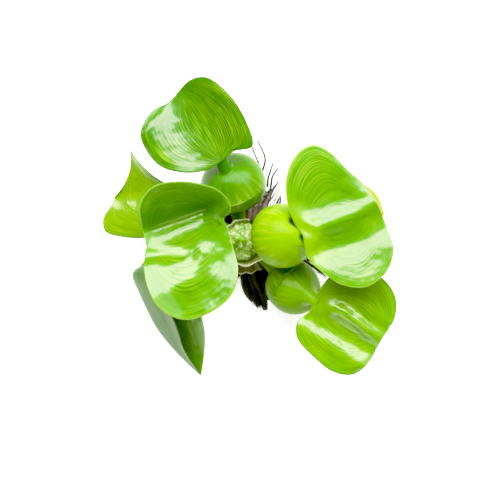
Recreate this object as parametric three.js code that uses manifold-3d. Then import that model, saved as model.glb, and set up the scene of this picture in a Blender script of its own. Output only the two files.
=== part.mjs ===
// A small floating water hyacinth, lifted out of the water and set down on its own roots.
// Millimetres, +Z up. The origin is on the surface under the middle of the crown, and +Y
// points along the leaf that reaches furthest back.
//
// Seven leaves grow from a short crown. Each one is a blade on a petiole that swells into a
// spongy ball, the float. Papery sheaths flare from the crown, a rolled young leaf stands in
// its middle, and the wet roots spread under it in locks.

import * as THREE from "three";
import Module from "manifold-3d";
import { mergeVertices } from "three/addons/utils/BufferGeometryUtils.js";

// Driving sizes
const BLADE_THICKNESS = 1.0;
const SHEATH_THICKNESS = 0.7;
const CONTACT_GAP = 0.35; // left between pieces that touch
const FOOT_RADIUS = 3.6; // a petiole where it leaves the crown
const NECK_RADIUS = 1.9; // a petiole where it meets its blade
const SHOULDER = 4; // a petiole leaves the crown level for this far
const NECK_RISE = 3.4; // and comes up square to its blade over this length
const CROWN_RADIUS = 8.2;
const CROWN_FOOT = 10.2;
const CROWN_TOP = 26;
const ROOT_MASS_RADIUS = 13;
const ROOT_MASS_HEIGHT = 9.8;
const STRAND_RADIUS = 0.5;

// How finely each kind of piece is divided
const BLADE_STEPS_ALONG = 11;
const BLADE_STEPS_ACROSS = 8;
const PETIOLE_SIDES = 12;
const CROWN_SIDES = 16;
const YOUNG_LEAF_SIDES = 10;
const LOCK_SIDES = 5;
const ROOT_MASS_SIDES = 16;
const STRAND_SIDES = 5;
const STRAND_STEPS = 4;
const SHEATH_STEPS_AROUND = 9;
const SHEATH_STEPS_OUT = 3;

// Where the blade's three rails start and end, as shares of their length
const RAIL_START = 0.03;
const RAIL_END = 0.985;
const FOLD_EASE = 0.16; // share of a blade over which a fold grows

const UP = new THREE.Vector3(0, 0, 1);
const RIGHT = new THREE.Vector3(1, 0, 0);

const finishes = {
  blade: { color: 0x6fb80f, roughness: 0.25 },
  oldBlade: { color: 0xc9cc22, roughness: 0.35 },
  float: { color: 0x8fd01a, roughness: 0.3 },
  oldFloat: { color: 0xb4c63a, roughness: 0.4 },
  crown: { color: 0xc3cf9a, roughness: 0.6 },
  youngLeaf: { color: 0x7cc21c, roughness: 0.4 },
  sheath: { color: 0xcfc9a4, roughness: 0.7 },
  root: { color: 0x17130f, roughness: 0.8 },
  strand: { color: 0x4a4038, roughness: 0.7 },
};

const vector = (point) => new THREE.Vector3(...point);
const mix = THREE.MathUtils.lerp;

// A smooth curve through points given as [x, y, z]
function curveThrough(points) {
  return new THREE.CatmullRomCurve3(points.map(vector), false, "centripetal");
}

// A closed solid over a row of loops that have the same number of points. Each end is closed
// by strips between point i and its opposite number, which also suits a thin curved loop.
function loft(loops) {
  const size = loops[0].length;
  const positions = loops.flat().flatMap((v) => [v.x, v.y, v.z]);
  const faces = [];
  const quad = (a, b, c, d) => faces.push(a, b, c, a, c, d);
  for (let k = 0; k + 1 < loops.length; k += 1) {
    for (let i = 0; i < size; i += 1) {
      const next = (i + 1) % size;
      quad(k * size + i, k * size + next, (k + 1) * size + next, (k + 1) * size + i);
    }
  }
  const last = (loops.length - 1) * size;
  for (let i = 0; i + 1 < size / 2; i += 1) {
    quad(size - 1 - i, size - 2 - i, i + 1, i);
    quad(last + i, last + i + 1, last + size - 2 - i, last + size - 1 - i);
  }
  const geometry = new THREE.BufferGeometry();
  geometry.setAttribute("position", new THREE.Float32BufferAttribute(positions, 3));
  geometry.setIndex(volumeOf(positions, faces) < 0 ? faces.reverse() : faces);
  geometry.computeVertexNormals();
  return geometry;
}

function volumeOf(positions, faces) {
  const corner = (i) => new THREE.Vector3().fromArray(positions, 3 * i);
  let volume = 0;
  for (let i = 0; i < faces.length; i += 3) {
    const [a, b, c] = [corner(faces[i]), corner(faces[i + 1]), corner(faces[i + 2])];
    volume += a.dot(b.cross(c)) / 6;
  }
  return volume;
}

// One closed solid out of several that run into each other
const wasm = await Module();
wasm.setup();

function joined(geometries) {
  const solids = geometries.map((geometry) => {
    geometry.deleteAttribute("normal");
    const merged = mergeVertices(geometry);
    const vertProperties = new Float32Array(merged.attributes.position.array);
    const triVerts = new Uint32Array(merged.index.array);
    return new wasm.Manifold(new wasm.Mesh({ numProp: 3, vertProperties, triVerts }));
  });
  const mesh = solids.reduce((all, solid) => all.add(solid)).getMesh();
  const geometry = new THREE.BufferGeometry();
  geometry.setAttribute("position", new THREE.Float32BufferAttribute(mesh.vertProperties, 3));
  geometry.setIndex(Array.from(mesh.triVerts));
  geometry.computeVertexNormals();
  return geometry;
}

// Blades
// Each blade is spanned by three rails from its base to its tip: the two margins and the
// midrib. Across the blade the surface is a parabola through the three.
const blades = {
  upper_left: {
    base: [-11.5, 41, 44],
    tip: [-32.5, 77.5, 46],
    midrib: [[-17.5, 51, 44.5], [-25.5, 64, 45]],
    left: [
      [-19.5, 36.5, 44], [-31, 35.3, 46.5], [-43.5, 39.5, 50],
      [-52, 54, 52], [-47, 65.5, 50.5], [-38, 71, 48],
    ],
    right: [
      [-5.5, 46, 46], [3.6, 48.2, 49], [-0.4, 61.5, 53.5],
      [-9, 74, 55], [-19, 81.8, 53.5], [-27, 81.5, 50],
    ],
  },
  centre_left: {
    base: [-11, 12.5, 47.5],
    tip: [-49.5, -2, 45],
    midrib: [[-20, 8.5, 46], [-32.5, 3.5, 44.5], [-42.5, 0, 44]],
    left: [
      [-8, 5.5, 47.5], [-6, -3, 48.5], [-3.6, -13.5, 49.5], [-6.5, -25.5, 49], [-16.5, -34.5, 47],
      [-30, -38.8, 46], [-42, -33, 48], [-48.8, -21, 48.5], [-50.5, -10, 47],
    ],
    right: [
      [-7, 15, 51], [-8.6, 21, 58.5], [-16, 26.3, 65], [-30, 28.6, 69.5],
      [-43.5, 26.8, 67.5], [-50.8, 19.6, 61.5], [-52, 10, 53],
    ],
  },
  left: {
    base: [-40, 14.5, 31],
    tip: [-58.8, 47.3, 34],
    midrib: [[-48.5, 22.5, 31], [-55, 34, 31]],
    left: [
      [-43.5, 5.5, 30], [-52, 2.6, 28], [-64, 3, 24.5], [-73.2, 6, 22.5], [-74.2, 12.5, 22.5],
      [-69.5, 20, 24], [-64, 27.5, 26.5], [-59.8, 34.5, 29], [-58.8, 41, 31.5],
    ],
    right: [
      [-36.5, 17.5, 33], [-35, 23, 36], [-38, 28, 38.5], [-43, 31, 39.5],
      [-49, 35, 39], [-54, 40.5, 37],
    ],
  },
  lower_left: {
    base: [-44, -12, 27],
    tip: [-23.6, -71.2, 1.6],
    midrib: [
      [-52, -12.8, 25.5], [-56.9, -15.8, 24], [-54.2, -26, 19.5], [-50.2, -36, 15],
      [-45.4, -45.6, 10.5], [-39, -54.2, 7], [-30.8, -63.8, 3.5],
    ],
    left: [
      [-35, -17, 26], [-26.5, -28.5, 23], [-22.4, -42, 17], [-21.4, -50, 12], [-22, -60, 6],
    ],
    right: [
      [-47, -9.5, 29.5], [-50, -14, 31.5], [-47.5, -21.5, 31.5], [-42, -30, 29],
      [-37.5, -38, 25.5], [-34.5, -46.5, 20.5], [-32.5, -54.5, 14.5], [-28.5, -63, 8],
    ],
  },
  right: {
    base: [29, 3.5, 50.5],
    tip: [67.8, 16.8, 48.5],
    midrib: [[42, 6, 50], [54.5, 10.5, 49.5]],
    left: [
      [24.5, 10.5, 51], [21, 21.5, 53], [21.5, 34.5, 55], [27, 45, 56],
      [34, 48.6, 56], [43, 44.5, 55], [52, 35.5, 53], [61, 28, 51],
    ],
    right: [
      [32, -8, 51], [38.5, -14.5, 52.5], [49, -21, 53.5], [61.2, -21.8, 53.5],
      [71, -14.4, 52.5], [74.5, -3.5, 51], [71, 9, 49.5],
    ],
  },
  lower_right: {
    base: [35.7, -29.2, 34],
    tip: [70.3, -50.3, 30],
    midrib: [[45.5, -35.7, 33.5], [57.9, -43.1, 32]],
    left: [
      [38.6, -23.8, 35.5], [44.1, -17.4, 36.5], [55.4, -13.9, 38], [68.8, -17.4, 38.5],
      [76.5, -26.8, 37], [77.2, -38.1, 34],
    ],
    right: [
      [33.7, -34.7, 34], [26.9, -41.6, 33], [27.3, -49.5, 32.5], [36.1, -59.4, 32],
      [45.6, -66.5, 31.5], [55.9, -68, 31], [64.4, -61.2, 30.5],
    ],
  },
  old_right: {
    base: [41.5, 8, 22],
    tip: [73.6, 15.6, 14.5],
    midrib: [[54, 10.5, 21]],
    left: [
      [43, 19, 22], [50, 29, 21], [57.5, 32.3, 19.5], [64.5, 30, 18], [70.5, 24.3, 16],
    ],
    right: [
      [45, 1.5, 21], [53.5, -1.5, 19], [62.5, 2.5, 17], [70, 8.5, 15],
    ],
  },
};

// Long soft folds beside the midrib of some blades: how far from it each one lies, less than
// nothing being towards the left margin, how wide and high it is, and where it starts, as a
// share of the way from base to tip
const folds = {
  centre_left: [
    { beside: 10, width: 6.7, rise: -6.5, start: 0.1 },
    { beside: -21.5, width: 9.3, rise: 3.6, start: 0.1 },
  ],
  right: [
    { beside: -3.5, width: 4.6, rise: 2.6, start: 0.05 },
    { beside: 10, width: 6.3, rise: -2, start: 0.05 },
  ],
  lower_right: [
    { beside: 7.5, width: 4.4, rise: -1.8, start: 0.05 },
    { beside: 16, width: 4, rise: 1.8, start: 0.05 },
  ],
};

// The middle of a blade's sheet at share s from base to tip and at t from -1, left, to 1,
// right, and the direction square to its upper face there
function bladeSheet({ base, tip, midrib, left, right }, bladeFolds = []) {
  const rails = [left, midrib, right].map((inner) => curveThrough([base, ...inner, tip]));
  const lift = (s, across) =>
    bladeFolds.reduce((sum, { beside, width, rise, start }) => {
      const grown = THREE.MathUtils.smoothstep(s, start, start + FOLD_EASE);
      return sum + rise * grown * Math.exp(-(((across - beside) / width) ** 2));
    }, 0);
  const place = (s, t) => {
    const [l, m, r] = rails.map((rail) => rail.getPointAt(s));
    const folded = lift(s, (t * l.distanceTo(r)) / 2);
    const slope = r.clone().sub(l).multiplyScalar(t / 2);
    const hollow = r.add(l).addScaledVector(m, -2).multiplyScalar((t * t) / 2);
    return m.add(slope).add(hollow).addScaledVector(UP, folded);
  };
  const step = 0.01;
  const normal = (s, t) => {
    const alongS = place(s + step, t).sub(place(s - step, t));
    const alongT = place(s, t + step).sub(place(s, t - step));
    return alongT.cross(alongS).normalize();
  };
  return { place, normal };
}

function bladeSolid({ place, normal }) {
  const loops = [];
  for (let k = 0; k <= BLADE_STEPS_ALONG; k += 1) {
    const s = mix(RAIL_START, RAIL_END, k / BLADE_STEPS_ALONG);
    const upper = [];
    const lower = [];
    for (let i = 0; i <= BLADE_STEPS_ACROSS; i += 1) {
      const t = mix(-1, 1, i / BLADE_STEPS_ACROSS);
      const point = place(s, t);
      const half = normal(s, t).multiplyScalar(BLADE_THICKNESS / 2);
      upper.push(point.clone().add(half));
      lower.unshift(point.sub(half));
    }
    loops.push([...upper, ...lower]);
  }
  return loft(loops);
}

// Petioles
// Each petiole runs from its foot on the crown, through the middle of its float, to the base
// of its blade. Its foot is given by the side of the crown, in degrees from +X, and the height
// there, and its float by the middle, the radius and half the length.
const petioles = {
  upper_left: { side: 104, height: 18, middle: [-6.2, 30, 27], radius: 17.3, half: 14.3 },
  centre_left: { side: 172, height: 21, middle: [-22, 1, 30], radius: 11, half: 12 },
  left: { side: 146, height: 13.5, middle: [-33, 16.5, 16.5], radius: 9.6, half: 12.5 },
  lower_left: { side: 236, height: 14, middle: [-25, -18, 15.5], radius: 10, half: 12.5 },
  right: { side: 8, height: 20.5, middle: [19.6, 3.4, 35.5], radius: 16.4, half: 14 },
  lower_right: { side: 321, height: 14, middle: [25.2, -22.8, 17.5], radius: 14.2, half: 14 },
  old_right: { side: 36, height: 13, middle: [36, 16, 11.5], radius: 8.4, half: 11.5 },
};

// The float's outline as [share of its half length, share of its radius]. It closes in to a
// small hollow round the neck.
const FLOAT_OUTLINE = [
  [-0.96, 0.4], [-0.8, 0.64], [-0.5, 0.88], [-0.15, 0.99], [0.2, 0.98],
  [0.5, 0.87], [0.75, 0.67], [0.9, 0.43], [0.93, 0.24],
];

function petioleSolid({ side, height, middle, radius, half }, sheet) {
  const around = THREE.MathUtils.degToRad(side);
  const outAt = (out) => [out * Math.cos(around), out * Math.sin(around), height];
  const foot = CROWN_RADIUS + CONTACT_GAP;
  const underBlade = (down) =>
    sheet.place(RAIL_START, 0).addScaledVector(sheet.normal(RAIL_START, 0), -down).toArray();
  const gap = BLADE_THICKNESS / 2 + CONTACT_GAP;
  const neck = [underBlade(gap + NECK_RISE), underBlade(gap)];
  const axis = curveThrough([outAt(foot), outAt(foot + SHOULDER), middle, ...neck]);

  const length = axis.getLength();
  const centre = lengthAt(axis, vector(middle), length);
  const stations = [
    [0, FOOT_RADIUS],
    [(centre - half) / 2, FOOT_RADIUS],
    ...FLOAT_OUTLINE.map(([along, out]) => [centre + along * half, out * radius]),
    [length, NECK_RADIUS],
  ];
  const sideways = vector(middle).cross(UP);
  return loft(
    stations.map(([at, r]) => circleOn(axis, at / length, r, PETIOLE_SIDES, sideways)),
  );
}

// How far along a curve of that length the point nearest to a target lies
function lengthAt(curve, target, length) {
  const samples = 200;
  const away = (k) => curve.getPointAt(k / samples).distanceTo(target);
  let best = 0;
  for (let k = 1; k <= samples; k += 1) {
    if (away(k) < away(best)) best = k;
  }
  return (best / samples) * length;
}

// A circle square to a curve at a share of its length. Its first point lies towards the given
// side, as near as the curve's direction lets it.
function circleOn(curve, share, radius, sides, sideways) {
  const middle = curve.getPointAt(share);
  const forward = curve.getTangentAt(share);
  const side = sideways.clone().addScaledVector(forward, -forward.dot(sideways)).normalize();
  const upward = side.clone().cross(forward);
  return Array.from({ length: sides }, (_, i) => {
    const angle = (2 * Math.PI * (i + 0.5)) / sides;
    return middle
      .clone()
      .addScaledVector(side, radius * Math.cos(angle))
      .addScaledVector(upward, radius * Math.sin(angle));
  });
}

// Crown and the rolled young leaf in its middle
const crownProfile = [
  [0, CROWN_FOOT], [CROWN_RADIUS - 1.5, CROWN_FOOT], [CROWN_RADIUS, CROWN_FOOT + 2.5],
  [CROWN_RADIUS - 0.4, 19], [CROWN_RADIUS - 1.4, 23], [4.5, CROWN_TOP - 0.5], [0, CROWN_TOP],
];
const YOUNG_LEAF_FOOT = [-0.6, 0.8, CROWN_TOP + 3 * CONTACT_GAP];
const YOUNG_LEAF_TIP = [-1, 2.4, 35.5];
const YOUNG_LEAF_RADIUS = 2.6;
const YOUNG_LEAF_OUTLINE = [[0, 0.75], [0.3, 1], [0.6, 0.8], [0.85, 0.4], [1, 0.12]];

function crownSolid() {
  const points = crownProfile.map(([radius, height]) => new THREE.Vector2(radius, height));
  return new THREE.LatheGeometry(points, CROWN_SIDES).rotateX(Math.PI / 2);
}

function youngLeafSolid() {
  const axis = curveThrough([YOUNG_LEAF_FOOT, YOUNG_LEAF_TIP]);
  return loft(
    YOUNG_LEAF_OUTLINE.map(([at, out]) =>
      circleOn(axis, at, out * YOUNG_LEAF_RADIUS, YOUNG_LEAF_SIDES, RIGHT),
    ),
  );
}

// Papery sheaths
// Each is a thin collar round part of the crown. It leaves the crown at its foot and flares to
// a wavy rim. Feet and rims are given as [radius, height], angles in degrees from +X.
const sheaths = {
  sheath_front_upper: { from: 212, to: 320, foot: [8.1, 20.6], rim: [12, 25.2], wave: 0.5 },
  sheath_front_lower: { from: 257, to: 303, foot: [8.5, 18.4], rim: [16.5, 14], wave: 0.8 },
  sheath_back: { from: 78, to: 144, foot: [7.5, 22.6], rim: [12.4, 27.6], wave: 0.5 },
};
const SHEATH_BELLY = 1.1;
const SHEATH_RIPPLES = 2.25; // waves along a rim

function sheathSolid({ from, to, foot, rim, wave }) {
  const loops = [];
  for (let k = 0; k <= SHEATH_STEPS_AROUND; k += 1) {
    const share = k / SHEATH_STEPS_AROUND;
    const angle = THREE.MathUtils.degToRad(mix(from, to, share));
    const ripple = wave * Math.sin(2 * Math.PI * SHEATH_RIPPLES * share);
    const upper = [];
    const lower = [];
    for (let i = 0; i <= SHEATH_STEPS_OUT; i += 1) {
      const out = i / SHEATH_STEPS_OUT;
      const radius = mix(foot[0], rim[0], out) + ripple * out;
      const height = mix(foot[1], rim[1], out) - SHEATH_BELLY * Math.sin(Math.PI * out);
      const at = (z) => vector([radius * Math.cos(angle), radius * Math.sin(angle), z]);
      upper.push(at(height + ripple * out));
      lower.unshift(at(height + ripple * out - SHEATH_THICKNESS));
    }
    loops.push([...upper, ...lower]);
  }
  return loft(loops);
}

// Roots
// The root mass is pressed flat under the crown, and wet locks spread from it over the surface
// in tufts. They all grow into each other, have a flat underside and end in ragged points.
// A tuft's angle is its direction from +X, which it turns away from as it runs out, and its
// locks fan out to the spread, all in degrees.
const tufts = [
  { angle: 283, turn: 1, spread: 14, reach: 35, thickness: 1.35 },
  { angle: 305, turn: 0, spread: 20, reach: 29, thickness: 1.1 },
  { angle: 324, turn: 0, spread: 20, reach: 33, thickness: 1 },
  { angle: 342, turn: -5, spread: 15, reach: 48, thickness: 1.1 },
  { angle: 5, turn: 2, spread: 24, reach: 40, thickness: 1 },
  { angle: 30, turn: 3, spread: 24, reach: 34, thickness: 1 },
  { angle: 56, turn: 5, spread: 18, reach: 38, thickness: 1.35 },
  { angle: 80, turn: -2, spread: 20, reach: 37, thickness: 1.1 },
  { angle: 107, turn: 5, spread: 26, reach: 30, thickness: 1 },
  { angle: 134, turn: 6, spread: 26, reach: 33, thickness: 1 },
  { angle: 161, turn: 6, spread: 26, reach: 35, thickness: 1 },
  { angle: 189, turn: 6, spread: 28, reach: 35, thickness: 1 },
  { angle: 220, turn: 6, spread: 30, reach: 32, thickness: 1 },
  { angle: 254, turn: 2, spread: 26, reach: 25, thickness: 1.1 },
];
const LOCKS_IN_A_TUFT = 3;
const TUFT_FOOT_SPREAD = 18; // degrees between the outer locks of a tuft at the root mass
const LOCK_RADIUS = 2.1;
const LOCK_REACHES = [0.84, 1, 0.75]; // each lock's share of its tuft's reach
const LOCK_HEIGHTS = [2.6, 5.4, 3.6]; // where each lock leaves the root mass
const LOCK_SWAYS = [-5, 4, 6]; // degrees that each lock bows to one side
const LOCK_TAPER = [1, 1, 0.75, 0.45, 0.14]; // shares of its radius, evenly along it
const LOCK_REST = 0.5; // height of a lock's middle once it lies on the surface
const LOCK_FALL = 0.8; // share of its length over which it comes down to that

function lockSolid({ angle, turn, spread, reach, thickness }, k) {
  const across = k / (LOCKS_IN_A_TUFT - 1) - 0.5;
  const middleAt = (u) => {
    const swing = mix(TUFT_FOOT_SPREAD, spread, u) * across + turn * u;
    const sway = LOCK_SWAYS[k] * Math.sin(Math.PI * u);
    const bearing = THREE.MathUtils.degToRad(angle + swing + sway);
    const out = mix(ROOT_MASS_RADIUS - LOCK_RADIUS, reach * LOCK_REACHES[k], u);
    const rise = mix(LOCK_HEIGHTS[k], LOCK_REST, Math.min(1, u / LOCK_FALL));
    return vector([out * Math.cos(bearing), out * Math.sin(bearing), rise]);
  };
  const loops = LOCK_TAPER.map((share, j) => {
    const middle = middleAt(j / (LOCK_TAPER.length - 1));
    const side = vector([-middle.y, middle.x, 0]).normalize();
    const radius = LOCK_RADIUS * thickness * share;
    return Array.from({ length: LOCK_SIDES }, (_, i) => {
      const around = (2 * Math.PI * (i + 0.25)) / LOCK_SIDES;
      const rise = middle.z + radius * Math.sin(around);
      return middle
        .clone()
        .addScaledVector(side, radius * Math.cos(around))
        .setZ(Math.max(0, rise));
    });
  });
  return loft(loops);
}

const ROOT_MASS_OUTLINE = [[0, 0.9], [0.3, 0.97], [0.6, 0.93], [0.85, 0.76], [1, 0.5]];

function rootMassSolid() {
  const loops = ROOT_MASS_OUTLINE.map(([rise, out]) =>
    Array.from({ length: ROOT_MASS_SIDES }, (_, i) => {
      const angle = (2 * Math.PI * i) / ROOT_MASS_SIDES;
      const radius = ROOT_MASS_RADIUS * out;
      return vector([radius * Math.cos(angle), radius * Math.sin(angle), rise * ROOT_MASS_HEIGHT]);
    }),
  );
  return loft(loops);
}

function rootsSolid() {
  const locks = tufts.flatMap((tuft) =>
    Array.from({ length: LOCKS_IN_A_TUFT }, (_, k) => lockSolid(tuft, k)),
  );
  return joined([rootMassSolid(), ...locks]);
}

// Single thin roots just past the ends of the locks
const strands = {
  root_strand_1: [[7.5, 38, 1], [7.2, 43, 2.4], [3.8, 51.7, 1.2]],
  root_strand_2: [[9.2, 38, 1], [10.8, 46.3, 2.6], [6.6, 55.2, 1.4]],
  root_strand_3: [[12.2, 30.2, 0.9], [12.6, 36, 2.4], [15, 42.8, 2.4]],
  root_strand_4: [[13.7, 29.8, 0.9], [14.8, 35.6, 2.6], [17.8, 40.4, 3.2]],
};
const STRAND_TAPER = 0.6; // its radius at the tip, as a share of that at the start

function strandSolid(points) {
  const path = curveThrough(points);
  const loops = [];
  for (let k = 0; k <= STRAND_STEPS; k += 1) {
    const share = k / STRAND_STEPS;
    const radius = STRAND_RADIUS * mix(1, STRAND_TAPER, share);
    loops.push(circleOn(path, share, radius, STRAND_SIDES, RIGHT));
  }
  return loft(loops);
}

// Assembly
const plant = new THREE.Group();

function addPiece(name, geometry, finish) {
  const piece = new THREE.Mesh(geometry, new THREE.MeshStandardMaterial(finish));
  piece.name = name;
  plant.add(piece);
}

for (const [place, blade] of Object.entries(blades)) {
  const old = place.startsWith("old");
  const sheet = bladeSheet(blade, folds[place]);
  const petiole = petioleSolid(petioles[place], sheet);
  addPiece(`blade_${place}`, bladeSolid(sheet), old ? finishes.oldBlade : finishes.blade);
  addPiece(`petiole_${place}`, petiole, old ? finishes.oldFloat : finishes.float);
}

addPiece("crown", crownSolid(), finishes.crown);
addPiece("young_leaf", youngLeafSolid(), finishes.youngLeaf);
for (const [name, sheath] of Object.entries(sheaths)) {
  addPiece(name, sheathSolid(sheath), finishes.sheath);
}
addPiece("roots", rootsSolid(), finishes.root);
for (const [name, points] of Object.entries(strands)) {
  addPiece(name, strandSolid(points), finishes.strand);
}

export default plant;
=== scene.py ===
# %% [markdown]
# # A small floating water hyacinth
#
# The plant has been lifted out of the water and set down on its own wet roots. Seven leaves
# grow from a short crown. Each leaf is a glossy round blade on a stalk that swells into a
# spongy ball, the float. Papery sheaths wrap the crown, and black feathery roots spread below.
#
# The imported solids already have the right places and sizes. So each piece here is a finer
# body made from the same few driving points, and it takes the place of one solid.

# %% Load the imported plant
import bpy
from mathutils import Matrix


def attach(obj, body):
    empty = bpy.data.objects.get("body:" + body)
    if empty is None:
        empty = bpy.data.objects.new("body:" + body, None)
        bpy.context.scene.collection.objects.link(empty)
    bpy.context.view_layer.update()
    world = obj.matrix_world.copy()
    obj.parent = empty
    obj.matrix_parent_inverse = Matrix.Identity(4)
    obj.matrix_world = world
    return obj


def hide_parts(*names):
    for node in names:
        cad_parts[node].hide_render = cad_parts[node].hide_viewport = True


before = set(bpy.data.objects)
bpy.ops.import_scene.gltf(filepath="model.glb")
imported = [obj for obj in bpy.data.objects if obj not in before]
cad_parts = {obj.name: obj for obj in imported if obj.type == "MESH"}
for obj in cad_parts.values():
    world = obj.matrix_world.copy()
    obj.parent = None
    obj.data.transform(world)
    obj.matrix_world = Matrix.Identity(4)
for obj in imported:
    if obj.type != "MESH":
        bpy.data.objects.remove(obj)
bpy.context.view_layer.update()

# %% Units, libraries and two small helpers
import math
import random

import bpy
import numpy as np
from mathutils import Vector, noise

MM = 0.001
scene = bpy.context.scene


def fill(node, **values):
    """Sets the node's own sockets. Base_Color stands for the socket called Base Color."""
    for key, value in values.items():
        node.inputs[key.replace("_", " ")].default_value = value


def named(facts, rows):
    """Gives the values in each row of a table their names."""
    return {place: dict(zip(facts, row)) for place, row in rows.items()}


print("unit:", MM, "m")

# %% [markdown]
# ## Camera
#
# The photograph looks straight down. A long lens well above the plant keeps the leaves that
# stand high from looking too large. One pixel of the photograph is 0.54 mm on the surface, so
# the height and that scale give the lens. The camera sits over a point just beside the crown,
# which is the middle of the picture.

# %% Camera over the plant
PICTURE_WIDTH = 500  # pixels
MM_PER_PIXEL = 0.54
CAMERA_HEIGHT = 700
CAMERA_OVER = (2.7, -3.8)
SENSOR_WIDTH = 36

camera_data = bpy.data.cameras.new("camera_above")
camera_data.sensor_width = SENSOR_WIDTH
camera_data.lens = SENSOR_WIDTH * CAMERA_HEIGHT / (PICTURE_WIDTH * MM_PER_PIXEL)
camera_data.clip_end = 20
camera = bpy.data.objects.new("camera_above", camera_data)
camera.location = (CAMERA_OVER[0] * MM, CAMERA_OVER[1] * MM, CAMERA_HEIGHT * MM)
scene.collection.objects.link(camera)
scene.camera = camera
print("lens:", round(camera_data.lens, 2), "mm")

# %% [markdown]
# ## Surface and light
#
# The plant lies on plain white, under large soft boxes. On a glossy leaf a soft box shows as a
# broad white patch, and that patch is most of what says "wet and waxy" to the eye. A point lamp
# would only leave small sparks. The soft boxes are area lamps, set by how bright their faces
# are, because that is what a reflection shows.

# %% White surface
FLOOR_HALF = 6  # metres
FLOOR_GLOW = 0.7  # keeps the surface plain white between the leaves too

floor_mesh = bpy.data.meshes.new("white_surface")
corners = [(-1, -1), (1, -1), (1, 1), (-1, 1)]
floor_mesh.from_pydata([(x * FLOOR_HALF, y * FLOOR_HALF, 0) for x, y in corners], [], [(0, 1, 2, 3)])
floor = bpy.data.objects.new("white_surface", floor_mesh)
scene.collection.objects.link(floor)
floor_paint = bpy.data.materials.new("white_paper")
floor_paint.use_nodes = True
fill(
    floor_paint.node_tree.nodes["Principled BSDF"], Base_Color=(0.9, 0.9, 0.9, 1), Roughness=0.9,
    Emission_Color=(1, 1, 1, 1), Emission_Strength=FLOOR_GLOW,
)
floor_mesh.materials.append(floor_paint)
print("surface:", 2 * FLOOR_HALF, "m square")

# %% Soft boxes and room light
def soft_box(name, place, size, brightness, aim=(0, 0, 0.03)):
    lamp = bpy.data.lights.new(name, "AREA")
    lamp.shape = "RECTANGLE"
    lamp.size, lamp.size_y = size
    lamp.energy = brightness * math.pi * size[0] * size[1]
    box = bpy.data.objects.new(name, lamp)
    box.location = place
    box.rotation_euler = (Vector(aim) - Vector(place)).to_track_quat("-Z", "Y").to_euler()
    box.visible_camera = False
    scene.collection.objects.link(box)


# One wide box hangs behind the plant and leans over it, and a weaker one stands to the right.
# A low one in front fills the shade without showing in the level parts of the leaves. Places
# and sizes are in metres. The last number is how bright the face of the box is.
soft_box("soft_box_behind", (0, 0.62, 0.86), (1.9, 0.76), 10.5)
soft_box("soft_box_right", (0.95, 0.05, 0.8), (0.6, 0.7), 2)
soft_box("soft_box_front", (0, -1.15, 0.42), (1.8, 0.36), 3)

ROOM_LIGHT = 0.45
BLACK_LEVEL = (0.022, 0.022, 0.045)  # the picture's contrast: anything darker than this is black
WHITE_LEVEL = 1.35  # and anything brighter than this is white
SHOULDER_TONES = [(0.3, 0.42), (0.45, 0.62), (0.7, 0.83)]  # bright tones are held back a little
room = bpy.data.worlds.new("white_room")
room.use_nodes = True
fill(room.node_tree.nodes["Background"], Color=(1, 1, 1, 1), Strength=ROOM_LIGHT)
scene.world = room
scene.view_settings.view_transform = "Standard"
scene.view_settings.use_curve_mapping = True
tones = scene.view_settings.curve_mapping
tones.black_level = BLACK_LEVEL
tones.white_level = (WHITE_LEVEL, WHITE_LEVEL, WHITE_LEVEL)
for tone_in, tone_out in SHOULDER_TONES:
    tones.curves[3].points.new(tone_in, tone_out)
tones.update()

# %% [markdown]
# ## Curves through a few points
#
# Leaves have no straight edges. Each margin, midrib, stalk and root is given by a few points,
# and a smooth curve runs through them. A Blender curve object could do this too, but its handles
# would have to be read back. A short function gives points at any share of the length at once.

# %% A smooth curve at even shares of its length
CURVE_STEPS = 24


def distance_along(path):
    steps = np.linalg.norm(np.diff(path, axis=0), axis=1)
    return np.concatenate([[0], np.cumsum(steps)])


def curve_through(points, shares):
    """Points on a smooth curve through the given ones, at shares of its length from 0 to 1."""
    points = np.array(points, float)
    before = 2 * points[0] - points[1]
    after = 2 * points[-1] - points[-2]
    knots = np.vstack([before, points, after])
    u = np.linspace(0, 1, CURVE_STEPS, endpoint=False)[:, None]
    pieces = []
    for a, b, c, d in zip(knots, knots[1:], knots[2:], knots[3:]):
        ab, bc, cd = (math.sqrt(np.linalg.norm(side)) for side in (b - a, c - b, d - c))
        leaving = bc * ((b - a) / ab - (c - a) / (ab + bc) + (c - b) / bc)
        arriving = bc * ((c - b) / bc - (d - b) / (bc + cd) + (d - c) / cd)
        cubic = 2 * b - 2 * c + leaving + arriving
        square = 3 * c - 3 * b - 2 * leaving - arriving
        pieces.append(b + leaving * u + square * u**2 + cubic * u**3)
    path = np.vstack(pieces + [points[-1:]])
    travelled = distance_along(path)
    wanted = np.asarray(shares) * travelled[-1]
    return np.column_stack([np.interp(wanted, travelled, axis) for axis in path.T])


def unit(vectors):
    return vectors / np.linalg.norm(vectors, axis=-1, keepdims=True)


print("curve test:", curve_through([(0, 0, 0), (10, 5, 0), (20, 0, 0)], [0, 0.5, 1]).round(2).tolist())

# %% A noise value for every point
def noise_at(points, size, seed=0):
    """Smooth noise from -1 to 1 for points in mm. The size is that of its bumps, in mm."""
    flat = points.reshape(-1, 3) / size + seed * 17.3
    values = [noise.noise(Vector(p)) for p in flat]
    return np.array(values).reshape(points.shape[:-1])


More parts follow.
